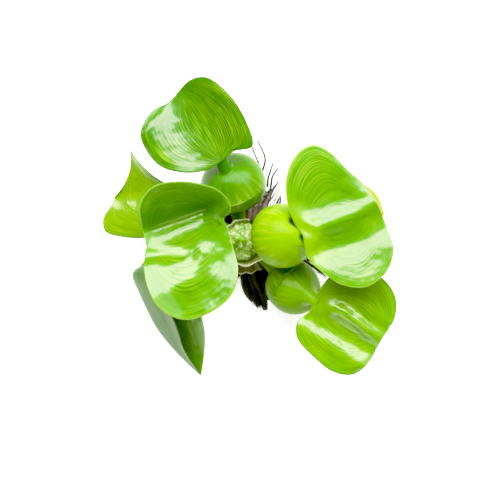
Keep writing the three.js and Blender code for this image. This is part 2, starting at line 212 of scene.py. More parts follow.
# %% Meshes out of arrays
def closed_sheet(upper, lower):
    """Points and faces of the thin body between two grids of points, upper faces first."""
    rows, columns = upper.shape[:2]
    count = rows * columns
    index = np.arange(count).reshape(rows, columns)
    corners = [index[:-1, :-1], index[:-1, 1:], index[1:, 1:], index[1:, :-1]]
    top = np.stack(corners, -1).reshape(-1, 4)
    ring = np.concatenate([index[0, :-1], index[:-1, -1], index[-1, :0:-1], index[:0:-1, 0]])
    following = np.roll(ring, -1)
    edge = np.stack([following, ring, ring + count, following + count], -1)
    points = np.concatenate([upper.reshape(-1, 3), lower.reshape(-1, 3)])
    return points, np.concatenate([top, top[:, ::-1] + count, edge])


def closed_tube(rings):
    """Points and faces of the body through rings of points, with a point at each end."""
    count, sides = rings.shape[:2]
    index = np.arange(count * sides).reshape(count, sides)
    around = np.roll(index, -1, axis=1)
    walls = np.stack([index[:-1], around[:-1], around[1:], index[1:]], -1).reshape(-1, 4)
    ends = np.array([rings[0].mean(axis=0), rings[-1].mean(axis=0)])
    first, last = count * sides, count * sides + 1
    caps = [(first, b, a) for a, b in zip(index[0], around[0])]
    caps += [(last, a, b) for a, b in zip(index[-1], around[-1])]
    return np.concatenate([rings.reshape(-1, 3), ends]), walls.tolist() + caps


def add_piece(name, points, faces, nodes, paints):
    """A smooth-shaded piece of the plant, from points in mm, in place of the given solids."""
    mesh = bpy.data.meshes.new(name)
    mesh.from_pydata((points * MM).tolist(), [], [tuple(face) for face in faces])
    mesh.polygons.foreach_set("use_smooth", [True] * len(mesh.polygons))
    for paint in paints:
        mesh.materials.append(paint)
    piece = bpy.data.objects.new(name, mesh)
    scene.collection.objects.link(piece)
    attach(piece, "root")
    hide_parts(*nodes)
    return piece


def lay_map(piece, values, name="growth"):
    """Stores two numbers for each point as a map of the piece, for its material to read."""
    layer = piece.data.uv_layers.new(name=name)
    corner_points = np.zeros(len(piece.data.loops), np.int32)
    piece.data.loops.foreach_get("vertex_index", corner_points)
    layer.data.foreach_set("uv", values[corner_points].astype(np.float32).ravel())


# %% [markdown]
# ## Leaf skin
#
# A blade is glossy and a little see-through. Its veins run side by side from the base to the
# tip, so the map of each blade has one number across it and one along it, and noise stretched
# along the second number gives the veins. The same noise raises the skin and the wet coat on it
# a little, together with soft dents. The pale patches are reflections in that coat, and the
# relief frays their edges as on the real leaf. Light that enters the flesh spreads and comes
# out again, so the skin has subsurface scattering. Some blades have a thin brown rim or a part
# that is drier, and the underside is paler and duller.

# %% Tools for materials
class Recipe:
    """A material and short ways to add nodes to it."""

    def __init__(self, name):
        self.material = bpy.data.materials.new(name)
        self.material.use_nodes = True
        self.tree = self.material.node_tree
        self.shader = self.tree.nodes["Principled BSDF"]

    def node(self, kind, **settings):
        made = self.tree.nodes.new(kind)
        for key, value in settings.items():
            setattr(made, key, value)
        return made

    def link(self, source, target):
        self.tree.links.new(source, target)

    def drive(self, socket, source):
        self.link(source, self.shader.inputs[socket])

    def set(self, **values):
        fill(self.shader, **values)

    def growth(self, across=1, along=1, shift=0):
        """The piece's map, stretched, as a place to look up noise."""
        layer = self.node("ShaderNodeUVMap", uv_map="growth")
        stretch = self.node("ShaderNodeMapping")
        fill(stretch, Scale=(across, along, 1), Location=(shift, shift, shift))
        self.link(layer.outputs["UV"], stretch.inputs["Vector"])
        return stretch.outputs["Vector"]

    def body(self, scale):
        """A place in the plant itself, for noise that isn't tied to the map."""
        coordinates = self.node("ShaderNodeTexCoord")
        stretch = self.node("ShaderNodeMapping")
        fill(stretch, Scale=scale if isinstance(scale, tuple) else (scale, scale, scale))
        self.link(coordinates.outputs["Object"], stretch.inputs["Vector"])
        return stretch.outputs["Vector"]

    def noise(self, place, scale=1, detail=2, roughness=0.5, distortion=0):
        texture = self.node("ShaderNodeTexNoise")
        fill(texture, Scale=scale, Detail=detail, Roughness=roughness, Distortion=distortion)
        self.link(place, texture.inputs["Vector"])
        return texture.outputs["Fac"]

    def spread(self, source, low, high, to_low=0, to_high=1, smooth=False):
        """Maps a range of numbers to another one, and holds it there."""
        mapper = self.node("ShaderNodeMapRange")
        mapper.interpolation_type = "SMOOTHSTEP" if smooth else "LINEAR"
        fill(mapper, From_Min=low, From_Max=high, To_Min=to_low, To_Max=to_high)
        self.link(source, mapper.inputs["Value"])
        return mapper.outputs["Result"]

    def maths(self, operation, first, second=0.0):
        made = self.node("ShaderNodeMath", operation=operation)
        for socket, value in zip(made.inputs, (first, second)):
            if isinstance(value, (int, float)):
                socket.default_value = value
            else:
                self.link(value, socket)
        return made.outputs["Value"]

    def times(self, first, second):
        return self.maths("MULTIPLY", first, second)

    def blend(self, share, first, second):
        """A colour between two, each of them a colour or the output of another node."""
        mixer = self.node("ShaderNodeMix", data_type="RGBA")
        self.link(share, mixer.inputs["Factor"])
        for socket, colour in zip((mixer.inputs[6], mixer.inputs[7]), (first, second)):
            if isinstance(colour, tuple):
                socket.default_value = (*colour, 1)
            else:
                self.link(colour, socket)
        return mixer.outputs[2]

    def relief(self, height, depth, strength=1.0):
        """Raises the skin and its coat by the height times the depth, which is in mm."""
        bump = self.node("ShaderNodeBump")
        fill(bump, Distance=depth * MM, Strength=strength)
        self.link(height, bump.inputs["Height"])
        self.drive("Normal", bump.outputs["Normal"])
        self.drive("Coat Normal", bump.outputs["Normal"])


# %% Upper skin of a blade
FLESH_SPREAD = (0.5, 1.0, 0.12)  # how far red, green and blue light get inside the flesh
THIN_FLESH = {
    "Subsurface_Weight": 0.3, "Subsurface_Scale": 1.6 * MM, "Subsurface_Radius": FLESH_SPREAD,
}
RIB_SHARE = 0.26  # of the fine ribs in the relief
DENT_SHARE = 1.7  # and of the soft dents
DRY_EDGE = 0.08  # share of the width over which the wet part of a blade ends


def map_parts(recipe, name="growth"):
    """The two numbers of the map: across the piece and along it."""
    layer = recipe.node("ShaderNodeUVMap", uv_map=name)
    parts = recipe.node("ShaderNodeSeparateXYZ")
    recipe.link(layer.outputs["UV"], parts.inputs["Vector"])
    return parts.outputs["X"], parts.outputs["Y"]


def leaf_veins(recipe, seed):
    return recipe.noise(recipe.growth(70, 1.6, seed), detail=3, roughness=0.6, distortion=0.15)


def leaf_skin(name, deep, fresh, pale, seed, rim_tone=None, base_tone=None, dry_from=None,
              coat_roughness=0.14):
    """Glossy skin from deep green at the veins to fresh green, with a thin rim: brown where a rim tone
    is given, and otherwise pale, as painted light shining through the thin margin. The part near the
    base may have a tone of its own, and the right side may be drier."""
    recipe = Recipe(name)
    across, along = map_parts(recipe)
    veins = leaf_veins(recipe, seed)
    threads = recipe.noise(recipe.growth(150, 4, seed), detail=1)
    clouds = recipe.noise(recipe.body(28), detail=2)
    open_part = recipe.spread(along, 0.7, 0.97, 1, 0.15, smooth=True)  # fades towards the tip
    streaks = recipe.blend(recipe.spread(threads, 0.44, 0.64, 0, 0.72), fresh, pale)
    streaked_part = recipe.times(recipe.spread(clouds, 0.36, 0.6), open_part)
    fair = recipe.blend(streaked_part, fresh, streaks)
    dark = recipe.times(recipe.spread(veins, 0.56, 0.36, 0, 0.6), open_part)
    lit = recipe.blend(dark, fair, deep)
    if base_tone:
        near_base = recipe.spread(along, 0.34, 0.08, 0, 0.85, smooth=True)
        lit = recipe.blend(near_base, lit, base_tone)
    # The rim: a thin brown line where a rim tone is given; otherwise a pale line, which is painted
    # light shining through the thin margin.
    from_middle = recipe.maths("ABSOLUTE", recipe.maths("SUBTRACT", across, 0.5))
    rim = recipe.spread(from_middle, 0.485, 0.499, 0, 0.75)
    recipe.drive("Base Color", recipe.blend(rim, lit, rim_tone or pale))
    recipe.drive("Roughness", recipe.spread(veins, 0.3, 0.7, 0.5, 0.38))
    ribs = recipe.maths("ADD", recipe.times(veins, 0.7), recipe.times(threads, 0.3))
    dents = recipe.noise(recipe.body(150), detail=1)
    fine = recipe.times(recipe.times(ribs, open_part), RIB_SHARE)
    recipe.relief(recipe.maths("ADD", fine, recipe.times(dents, DENT_SHARE)), 1, 0.3)
    if dry_from is not None:
        wet = recipe.spread(across, dry_from, dry_from + DRY_EDGE, 1, 0.25, smooth=True)
        recipe.drive("Coat Weight", wet)
    recipe.set(
        **THIN_FLESH, Specular_IOR_Level=0.15, IOR=1.45,
        Coat_Weight=1.0, Coat_Roughness=coat_roughness,
    )
    return recipe.material


# %% Underside of a blade
def under_skin(name, deep, pale, seed):
    """Dull pale skin of a blade's underside, with the veins showing through."""
    recipe = Recipe(name)
    veins = leaf_veins(recipe, seed)
    clouds = recipe.noise(recipe.body(40), detail=3)
    shade = recipe.times(recipe.spread(veins, 0.3, 0.7), recipe.spread(clouds, 0.2, 0.7))
    recipe.drive("Base Color", recipe.blend(shade, deep, pale))
    recipe.drive("Roughness", recipe.spread(clouds, 0.3, 0.7, 0.5, 0.38))
    recipe.relief(veins, 0.15, 0.6)
    recipe.set(**THIN_FLESH, Coat_Weight=0.15, Coat_Roughness=0.3)
    return recipe.material


# %% [markdown]
# ## Blades
#
# Each blade is spanned by three rails from its base to its tip: the left margin, the midrib and
# the right margin. Across it, the surface is a parabola through the three. Lines along the blade
# then run side by side and meet at both ends, just as the veins of a water hyacinth do. A flat
# outline pushed up by a modifier would be quicker, but it couldn't fold over itself as the
# drooping leaf does. Long soft folds and a wavy rim are added to the rails' surface, because
# they are what breaks the reflections into stripes.

# %% The rails of every blade, in mm
BLADES = {
    "upper_left": {
        "base": (-11.5, 41, 44),
        "tip": (-32.5, 77.5, 46),
        "midrib": [(-17.5, 51, 44.5), (-25.5, 64, 45)],
        "left": [
            (-19.5, 36.5, 44), (-31, 35.3, 46.5), (-43.5, 39.5, 50),
            (-52, 54, 52), (-47, 65.5, 50.5), (-38, 71, 48),
        ],
        "right": [
            (-5.5, 46, 46), (3.6, 48.2, 49), (-0.4, 61.5, 53.5),
            (-9, 74, 55), (-19, 81.8, 53.5), (-27, 81.5, 50),
        ],
    },
    "centre_left": {
        "base": (-11, 12.5, 47.5),
        "tip": (-49.5, -2, 45),
        "midrib": [(-20, 8.5, 46), (-32.5, 3.5, 44.5), (-42.5, 0, 44)],
        "left": [
            (-8, 5.5, 47.5), (-6, -3, 48.5), (-3.6, -13.5, 49.5), (-6.5, -25.5, 49),
            (-16.5, -34.5, 47), (-30, -38.8, 46), (-42, -33, 48), (-48.8, -21, 48.5),
            (-50.5, -10, 47),
        ],
        "right": [
            (-7, 15, 51), (-8.6, 21, 58.5), (-16, 26.3, 65), (-30, 28.6, 69.5),
            (-43.5, 26.8, 67.5), (-50.8, 19.6, 61.5), (-52, 10, 53),
        ],
    },
    "left": {
        "base": (-40, 14.5, 31),
        "tip": (-58.8, 47.3, 34),
        "midrib": [(-48.5, 22.5, 31), (-55, 34, 31)],
        "left": [
            (-43.5, 5.5, 30), (-52, 2.6, 28), (-64, 3, 24.5), (-73.2, 6, 22.5),
            (-74.2, 12.5, 22.5), (-69.5, 20, 24), (-64, 27.5, 26.5), (-59.8, 34.5, 29),
            (-58.8, 41, 31.5),
        ],
        "right": [
            (-36.5, 17.5, 33), (-35, 23, 36), (-38, 28, 38.5), (-43, 31, 39.5),
            (-49, 35, 39), (-54, 40.5, 37),
        ],
    },
    "lower_left": {
        "base": (-44, -12, 27),
        "tip": (-23.6, -71.2, 1.6),
        "midrib": [
            (-52, -12.8, 25.5), (-56.9, -15.8, 24), (-54.2, -26, 19.5), (-50.2, -36, 15),
            (-45.4, -45.6, 10.5), (-39, -54.2, 7), (-30.8, -63.8, 3.5),
        ],
        "left": [
            (-35, -17, 26), (-26.5, -28.5, 23), (-22.4, -42, 17), (-21.4, -50, 12),
            (-22, -60, 6),
        ],
        "right": [
            (-47, -9.5, 29.5), (-50, -14, 31.5), (-47.5, -21.5, 31.5), (-42, -30, 29),
            (-37.5, -38, 25.5), (-34.5, -46.5, 20.5), (-32.5, -54.5, 14.5), (-28.5, -63, 8),
        ],
    },
    "right": {
        "base": (29, 3.5, 50.5),
        "tip": (67.8, 16.8, 48.5),
        "midrib": [(42, 6, 50), (54.5, 10.5, 49.5)],
        "left": [
            (24.5, 10.5, 51), (21, 21.5, 53), (21.5, 34.5, 55), (27, 45, 56),
            (34, 48.6, 56), (43, 44.5, 55), (52, 35.5, 53), (61, 28, 51),
        ],
        "right": [
            (32, -8, 51), (38.5, -14.5, 52.5), (49, -21, 53.5), (61.2, -21.8, 53.5),
            (71, -14.4, 52.5), (74.5, -3.5, 51), (71, 9, 49.5),
        ],
    },
    "lower_right": {
        "base": (35.7, -29.2, 34),
        "tip": (70.3, -50.3, 30),
        "midrib": [(45.5, -35.7, 33.5), (57.9, -43.1, 32)],
        "left": [
            (38.6, -23.8, 35.5), (44.1, -17.4, 36.5), (55.4, -13.9, 38), (68.8, -17.4, 38.5),
            (76.5, -26.8, 37), (77.2, -38.1, 34),
        ],
        "right": [
            (33.7, -34.7, 34), (26.9, -41.6, 33), (27.3, -49.5, 32.5), (36.1, -59.4, 32),
            (45.6, -66.5, 31.5), (55.9, -68, 31), (64.4, -61.2, 30.5),
        ],
    },
    "old_right": {
        "base": (41.5, 8, 22),
        "tip": (73.6, 15.6, 14.5),
        "midrib": [(54, 10.5, 21)],
        "left": [
            (43, 19, 22), (50, 29, 21), (57.5, 32.3, 19.5), (64.5, 30, 18), (70.5, 24.3, 16),
        ],
        "right": [(45, 1.5, 21), (53.5, -1.5, 19), (62.5, 2.5, 17), (70, 8.5, 15)],
    },
}


def blade_sheet(blade, along, across):
    """The blade's middle surface, as a grid of points: along it from base to tip, and across
    it from -1 at the left margin to 1 at the right one."""
    left, midrib, right = (
        curve_through([blade["base"], *blade[rail], blade["tip"]], along)[:, None]
        for rail in ("left", "midrib", "right")
    )
    t = np.asarray(across)[None, :, None]
    return midrib + t * (right - left) / 2 + t**2 * ((left + right) / 2 - midrib)


def facing_of(grid):
    """The direction square to the upper side at every point of a grid."""
    return unit(np.cross(np.gradient(grid, axis=1), np.gradient(grid, axis=0)))


print("blades:", len(BLADES))

# %% Long soft folds, fine ribs and the body of a blade
UPWARD = np.array((0, 0, 1))
BLADE_ROWS = 110
BLADE_COLUMNS = 96
MIDDLE_HALF = 0.42  # half the thickness near the midrib
MARGIN_HALF = 0.16  # and at the margin
RIB_HEIGHT = 0.035
RIBS_ACROSS = 34
DIMPLING = 0.35  # height of the soft unevenness all over
DIMPLE_WIDTH = 14
STREAK_HEIGHT = 0.09  # height of the streaks that run with the veins
STREAK_WIDTH = 2.6
STREAK_LENGTH = 30
RIM_DROP = 0.9  # the margin turns down by this much
RIM_FROM = 0.8  # from here to the margin, on the scale from midrib to margin
FOLD_EASE = 0.16  # share of the blade over which a fold grows and fades
NEAR_BASE, NEAR_TIP = 0.004, 0.996  # a blade's rails run together at its very ends

# Each fold is a long soft swelling or hollow beside the midrib: how far from the midrib it
# lies (less than nothing is towards the left margin), how wide it is and its height, all in
# mm, and where it starts and ends on the way from base to tip.
FOLDS = {
    "upper_left": [(-9, 7, -0.5, 0, 1.2), (14, 8, 0.8, 0, 1.2)],
    "centre_left": [(10, 6.7, -6.5, 0.1, 1.3), (-21.5, 9.3, 3.2, 0.1, 1.3)],
    "right": [(-3.5, 4.6, 2.6, 0.05, 1.3), (10, 6.3, -2, 0.05, 1.3), (-14.5, 7, -0.9, 0.1, 1.1)],
    "lower_right": [(-2, 4, 1.7, 0.1, 1.3), (7.5, 4.4, -1.0, 0.05, 1.3), (16, 4, 1.4, 0.05, 1.3)],
}

# Local ridges and hollows: the two ends of the line they lie on, how far they spread from it,
# and their height, all in mm.
RIDGES = {
    "upper_left": [
        (-42, 72.5, -42, 72.5, 8, -2.4), (-53, 63, -43, 73.5, 4.4, -6), (-54, 60, -51, 46, 4, -3),
        (-51, 45, -42, 36, 4, -2.4), (-31, 31, -23, 31, 6, 2.5),
    ],
    "centre_left": [
        (-21, -6, -29, -22, 5, 1.9), (-48, -7, -33, -6.5, 3.2, 1.5), (-48, -34, -39, -41, 7, 3),
        (-8.5, -11, -8.5, -11, 7, -1.5), (-3, -29, -16, -36, 8, 3.6), (-33, -13, -31, -17, 4, 1),
    ],
    "left": [(-66.5, 23.5, -66.5, 23.5, 4.5, -1.3), (-56, 25, -56, 25, 6, -1.8)],
    "right": [(64, 4, 64, 4, 7, 0.8), (34, 2, 34, 2, 5, 2.2), (50, 28, 58, 25, 3.5, 0.9)],
    "lower_right": [(64, -35, 74, -41, 3.2, 1.1), (50, -35, 70, -52, 3, 1.3)],
}


def eased(value):
    value = np.clip(value, 0, 1)
    return value * value * (3 - 2 * value)


def near_line(points, x1, y1, x2, y2, spread):
    """One on the line between two places, seen from above, and less and less beside it."""
    x, y, run = points[..., 0] - x1, points[..., 1] - y1, np.array((x2 - x1, y2 - y1), float)
    share = np.clip((x * run[0] + y * run[1]) / max(run @ run, 1e-6), 0, 1)
    return np.exp(-((x - share * run[0]) ** 2 + (y - share * run[1]) ** 2) / spread**2)


def breadth_of(middle):
    return np.linalg.norm(middle[:, -1] - middle[:, 0], axis=1)


def fold_height(place, middle, along, across):
    """How far the folds raise each point of a blade's middle surface, in mm."""
    beside = np.outer(breadth_of(middle) / 2, across)
    height = np.zeros(beside.shape)
    for offset, width, rise, start, end in FOLDS.get(place, []):
        grown = eased((along - start) / FOLD_EASE) * eased((end - along) / FOLD_EASE)
        height += rise * grown[:, None] * np.exp(-(((beside - offset) / width) ** 2))
    for *line, rise in RIDGES.get(place, []):
        height += rise * near_line(middle, *line)
    return height


def blade_body(place, seed):
    """Points and faces of a blade with all its unevenness, and its map."""
    along = np.linspace(NEAR_BASE, NEAR_TIP, BLADE_ROWS)
    across = np.linspace(-1, 1, BLADE_COLUMNS)
    middle = blade_sheet(BLADES[place], along, across)
    breadth = breadth_of(middle)[:, None]
    fullness = np.clip(1.5 * breadth / breadth.max(), 0, 1)
    rim = np.clip((np.abs(across) - RIM_FROM) / (1 - RIM_FROM), 0, 1) ** 2
    beside = breadth / 2 * across
    lengthwise = along[:, None] * np.linalg.norm(middle[-1, 0] - middle[0, 0])
    stretched = (beside / STREAK_WIDTH, lengthwise / STREAK_LENGTH, 0 * beside)
    flat = np.stack(np.broadcast_arrays(*stretched), -1)
    streaks = STREAK_HEIGHT * noise_at(flat, 1, seed)
    dimples = DIMPLING * noise_at(middle, DIMPLE_WIDTH, seed)
    unevenness = (dimples + streaks - RIM_DROP * rim) * fullness
    folded = fold_height(place, middle, along, across)
    ribs = np.cos(np.pi * RIBS_ACROSS * across) * np.sin(np.pi * along)[:, None]
    middle = middle + facing_of(middle) * unevenness[..., None] + UPWARD * folded[..., None]
    facing = facing_of(middle)
    thickness = MARGIN_HALF + (MIDDLE_HALF - MARGIN_HALF) * (1 - np.abs(across) ** 5)
    upper = middle + facing * (thickness + RIB_HEIGHT * ribs)[..., None]
    lower = middle - facing * (thickness - RIB_HEIGHT * ribs)[..., None]
    growth = np.stack(np.meshgrid((across + 1) / 2, along), -1).reshape(-1, 2)
    return closed_sheet(upper, lower), np.concatenate([growth, growth])


# %% Skins of the seven blades
GREEN = {
    "upper_left": ((0.014, 0.085, 0.001), (0.034, 0.14, 0.001), (0.22, 0.36, 0.02)),
    "centre_left": ((0.034, 0.145, 0.001), (0.075, 0.22, 0.001), (0.22, 0.36, 0.03)),
    "left": ((0.075, 0.19, 0.001), (0.12, 0.24, 0.001), (0.26, 0.35, 0.03)),
    "lower_left": ((0.04, 0.13, 0.006), (0.075, 0.19, 0.01), (0.2, 0.28, 0.06)),
    "right": ((0.035, 0.14, 0.001), (0.075, 0.21, 0.002), (0.22, 0.34, 0.03)),
    "lower_right": ((0.04, 0.15, 0.001), (0.1, 0.25, 0.001), (0.24, 0.36, 0.02)),
    "old_right": ((0.19, 0.21, 0.004), (0.3, 0.3, 0.008), (0.4, 0.36, 0.06)),
}
DRY_FROM = {"centre_left": 0.72, "lower_left": 0.0}  # share across from which a blade is drier
SMOOTH_COAT = 0.15  # roughness of the wet coat
ROUGHER_COATS = {"right": 0.22, "centre_left": 0.18, "upper_left": 0.18}
DARK_RIM = (0.035, 0.045, 0.004)  # a thin brownish line round some of the blades
DARK_RIMMED = ("upper_left", "left", "lower_right")
BASE_TONES = {"right": (0.15, 0.3, 0.003), "lower_right": (0.12, 0.26, 0.003)}
UNDER_DEEP = (0.045, 0.12, 0.018)
UNDER_PALE = (0.095, 0.18, 0.06)

UPPER_FACES = (BLADE_ROWS - 1) * (BLADE_COLUMNS - 1)  # closed_sheet puts these first
for seed, place in enumerate(BLADES):
    (points, faces), growth = blade_body(place, seed)
    upper_paint = leaf_skin(
        f"leaf_skin_{place}", *GREEN[place], seed,
        rim_tone=DARK_RIM if place in DARK_RIMMED else None,
        base_tone=BASE_TONES.get(place),
        dry_from=DRY_FROM.get(place),
        coat_roughness=ROUGHER_COATS.get(place, SMOOTH_COAT),
    )
    under_paint = under_skin(f"leaf_underside_{place}", UNDER_DEEP, UNDER_PALE, seed)
    paints = [upper_paint, under_paint]
    piece = add_piece(f"leaf_{place}", points, faces, [f"blade_{place}"], paints)
    under = np.arange(len(piece.data.polygons)) >= UPPER_FACES
    piece.data.polygons.foreach_set("material_index", under.astype(np.int32))
    lay_map(piece, growth)
    print("leaf", place, len(piece.data.polygons), "faces")

# %% [markdown]
# ## Floats and their necks
#
# The stalk of each leaf leaves the crown level, swells into an air-filled ball, narrows to a
# short neck and runs into the blade. All of that is one skin, so it is one sweep: rings of
# points along a smooth axis. Most floats narrow evenly to the neck, one folds in round it and
# leaves the dimple that such floats can have, and one ends nearly round. Two joined balls would
# show a seam at the neck.

# %% The stalks, in mm
CROWN_RADIUS = 8.2
SHOULDER = 4  # a stalk leaves the crown level for this far
FOOT_RADIUS = 3.6
BASE_SHARE = 0.03  # where along the blade its stalk comes up
STALK_SIDES = 72
STALK_RINGS = 150

# Each row: the bearing and the height at which the stalk leaves the crown, the middle of its
# float, and the float's radius and half its length.
STALKS = named(("side", "height", "middle", "radius", "half"), {
    "upper_left": (104, 18, (-6.2, 30, 27), 17.3, 14.3),
    "centre_left": (172, 21, (-22, 1, 30), 11, 12),
    "left": (146, 13.5, (-33, 16.5, 16.5), 9.6, 12.5),
    "lower_left": (236, 14, (-25, -18, 15.5), 10, 12.5),
    "right": (8, 20.5, (19.6, 3.4, 35.5), 16.4, 14),
    "lower_right": (321, 14, (25.2, -22.8, 17.5), 14.2, 14),
    "old_right": (36, 13, (36, 16, 11.5), 8.4, 11.5),
})

# Each neck: half its width and half its depth where it meets the blade, how far its middle
# lies under the blade's, in mm, and the shares of the blade between which it sinks in.
USUAL_NECK = {"half_width": 3.2, "half_depth": 2.1, "under": 1.3, "run": (0.05, 0.12)}
NECKS = {
    "right": {"half_width": 6, "half_depth": 2.6, "under": 3.1, "run": (0.06, 0.13)},
    "upper_left": {**USUAL_NECK, "under": 1.9},
}

# The float's outline, in shares of its half length and of its radius: how it starts, and the
# three ways in which it ends at the neck
FLOAT_START = [(-1.0, 0.28), (-0.93, 0.42), (-0.8, 0.64), (-0.5, 0.88), (-0.15, 0.99), (0.2, 0.985)]
EVEN_END = [(0.5, 0.88), (0.74, 0.7), (0.92, 0.48), (1.08, 0.33)]
FOLDED_END = [(0.5, 0.89), (0.74, 0.74), (0.9, 0.58), (0.98, 0.46), (1.02, 0.4)]
ROUND_END = [(0.5, 0.87), (0.72, 0.7), (0.86, 0.5), (0.93, 0.34), (0.97, 0.24)]
OTHER_ENDS = {"right": FOLDED_END, "upper_left": ROUND_END}

# Dimples and creases in the upper side of a float: the two ends of the line they lie on, how
# far they spread from it, and their depth, in mm
DIMPLES = {"right": [(24, 10.5, 26.5, 8.8, 2.2, 3.2), (29, 2.6, 36, -5, 1.5, 1.6)]}
SWELLING = 0.05  # unevenness of a float, as a share of its radius
SWELLING_WIDTH = 16


def stalk_axis(stalk, neck, place):
    """The stalk's middle line: from inside the crown, through the float, into the blade."""
    turn = math.radians(stalk["side"])
    foot, shoulder = (
        (r * math.cos(turn), r * math.sin(turn), stalk["height"])
        for r in (CROWN_RADIUS - 2, CROWN_RADIUS + SHOULDER)
    )
    along, across = np.array([BASE_SHARE, *neck["run"]]), np.array([-1, 0, 1])
    sheet = blade_sheet(BLADES[place], along, across)
    sheet[..., 2] += fold_height(place, sheet, along, across)
    base, ridge, sunk = sheet[:, 1]
    middle = np.array(stalk["middle"], float)
    top = middle + 0.95 * stalk["half"] * unit(base - middle)
    down = np.array((0, 0, neck["under"]))
    return [foot, shoulder, middle, top, base - down, ridge - down, sunk - 1.8 * down]


def stalk_outline(stalk, neck, axis, ending):
    """Shares of the stalk's length, and its half width and half depth at each."""
    dense = curve_through(axis, np.linspace(0, 1, 400))
    travelled = distance_along(dense)
    nearest = [np.argmin(np.linalg.norm(dense - np.array(point), axis=1)) for point in axis]
    _, _, centre, _, base, ridge, _ = travelled[nearest]
    length = travelled[-1]
    half, radius = stalk["half"], stalk["radius"]
    stem = FOOT_RADIUS * 0.95
    rows = [(0, FOOT_RADIUS, FOOT_RADIUS), ((centre - half) / 2, stem, stem)]
    rows += [(centre + at * half, out * radius, out * radius) for at, out in FLOAT_START + ending]
    wide, deep = neck["half_width"], neck["half_depth"]
    rows += [
        (base - 1, wide, deep), (base + 1, wide * 1.1, deep * 0.9), (ridge, wide * 1.15, deep * 0.6),
        ((ridge + length) / 2, wide * 1.1, deep * 0.4), (length, wide * 0.6, 0.2),
    ]
    shaped = curve_through(rows, np.linspace(0, 1, STALK_RINGS))
    return shaped[:, 0] / length, shaped[:, 1], shaped[:, 2]


def stalk_body(stalk, place, seed):
    """Rings of points along a stalk, its map, and a map of where it is creased, which places the
    painted shade in the creases.
    """
    neck = NECKS.get(place, USUAL_NECK)
    axis = stalk_axis(stalk, neck, place)
    ending = OTHER_ENDS.get(place, EVEN_END)
    shares, widths, depths = stalk_outline(stalk, neck, axis, ending)
    shares = np.clip(shares, 0, 1)
    centres = curve_through(axis, shares)
    behind, ahead = (curve_through(axis, np.clip(shares + s, 0, 1)) for s in (-0.004, 0.004))
    forward = unit(ahead - behind)
    sideways = np.cross(stalk["middle"], (0, 0, 1))
    side = unit(sideways - forward * (forward @ sideways)[:, None])
    upward = np.cross(side, forward)
    angles = np.linspace(0, 2 * math.pi, STALK_SIDES, endpoint=False)

    def rings_of(scale):
        wide = side[:, None] * np.cos(angles)[:, None] * (widths[:, None] * scale)[..., None]
        deep = upward[:, None] * np.sin(angles)[:, None] * (depths[:, None] * scale)[..., None]
        return centres[:, None] + wide + deep

    bumps = noise_at(rings_of(np.ones((STALK_RINGS, STALK_SIDES))), SWELLING_WIDTH, seed)
    rings = rings_of(1 + SWELLING * bumps * np.clip(widths / 10, 0, 1)[:, None])
    upper_half = eased((rings[..., 2] - stalk["middle"][2]) / 6)
    creased = np.zeros(upper_half.shape)
    for *line, depth in DIMPLES.get(place, []):
        near = near_line(rings, *line) * upper_half
        rings[..., 2] -= depth * near
        creased = np.maximum(creased, near)
    growth = np.stack(np.meshgrid(angles / (2 * math.pi), shares), -1).reshape(-1, 2)
    creases = np.concatenate([creased.ravel(), [0, 0]])
    return rings, np.concatenate([growth, [(0, 0), (0, 1)]]), np.stack([creases, creases], -1)


# %% Skin of a float
# Painted shade: a dark green laid into the float's skin where it folds in beside its neck, in place of
# the shade that falls there.
CREASE_SHADE = (0.006, 0.045, 0.001)  # where the float folds in beside its neck


def float_skin(name, deep, fresh, pale, blade_tone, gloss, seed):
    """Taut satin skin over white spongy flesh that greens into the blade, with fine pale lines painted
    in as highlights on its ribs and painted shade where it folds in beside the neck.
    """
    recipe = Recipe(name)
    _, along = map_parts(recipe)
    streaks = recipe.noise(recipe.growth(38, 3.2, seed), detail=3, roughness=0.6)
    clouds = recipe.noise(recipe.body(70), detail=1)
    flesh = recipe.blend(recipe.spread(streaks, 0.35, 0.65, 0.2, 0.9), deep, fresh)
    low = recipe.spread(along, 0.2, 0.5, 0.5, 0, smooth=True)
    shaded = recipe.blend(low, flesh, pale)
    # Painted highlights: fine pale lines that stand in for the light caught along the float's fine
    # ribs.
    highlight_noise = recipe.noise(recipe.growth(56, 4, seed + 5), detail=1)
    with_painted_highlights = recipe.blend(recipe.spread(highlight_noise, 0.5, 0.68, 0, 0.42), shaded, pale)
    soft = recipe.blend(recipe.spread(clouds, 0.45, 0.75, 0, 0.2), with_painted_highlights, pale)
    greened = recipe.blend(recipe.spread(along, 0.6, 0.85, 0, 1, smooth=True), soft, blade_tone)
    # Painted shade, strongest in the creases beside the neck.
    crease, _ = map_parts(recipe, "crease")
    painted_crease_shade = recipe.spread(crease, 0.15, 0.85, 0, 0.9, smooth=True)
    recipe.drive("Base Color", recipe.blend(painted_crease_shade, greened, CREASE_SHADE))
    recipe.drive("Roughness", recipe.spread(streaks, 0.3, 0.7, 0.4, 0.3))
    recipe.relief(streaks, 0.2, 0.5)
    recipe.set(
        Subsurface_Weight=0.5, Subsurface_Scale=3 * MM, Subsurface_Radius=FLESH_SPREAD,
        Specular_IOR_Level=0.1, Coat_Weight=gloss, Coat_Roughness=0.32, IOR=1.42,
    )
    return recipe.material


HIDDEN_FLOAT = ((0.05, 0.15, 0.003), (0.1, 0.22, 0.006), (0.22, 0.32, 0.09))
FLOAT_GREEN = {
    "upper_left": ((0.05, 0.15, 0.002), (0.085, 0.21, 0.003), (0.2, 0.3, 0.06)),
    "right": ((0.1, 0.23, 0.001), (0.17, 0.32, 0.002), (0.28, 0.4, 0.06)),
    "lower_right": ((0.045, 0.15, 0.001), (0.1, 0.22, 0.002), (0.22, 0.33, 0.06)),
    "old_right": ((0.11, 0.15, 0.012), (0.18, 0.2, 0.02), (0.26, 0.27, 0.1)),
}
USUAL_GLOSS = 0.18
FLOAT_GLOSS = {"upper_left": 0.3, "right": 0.12}

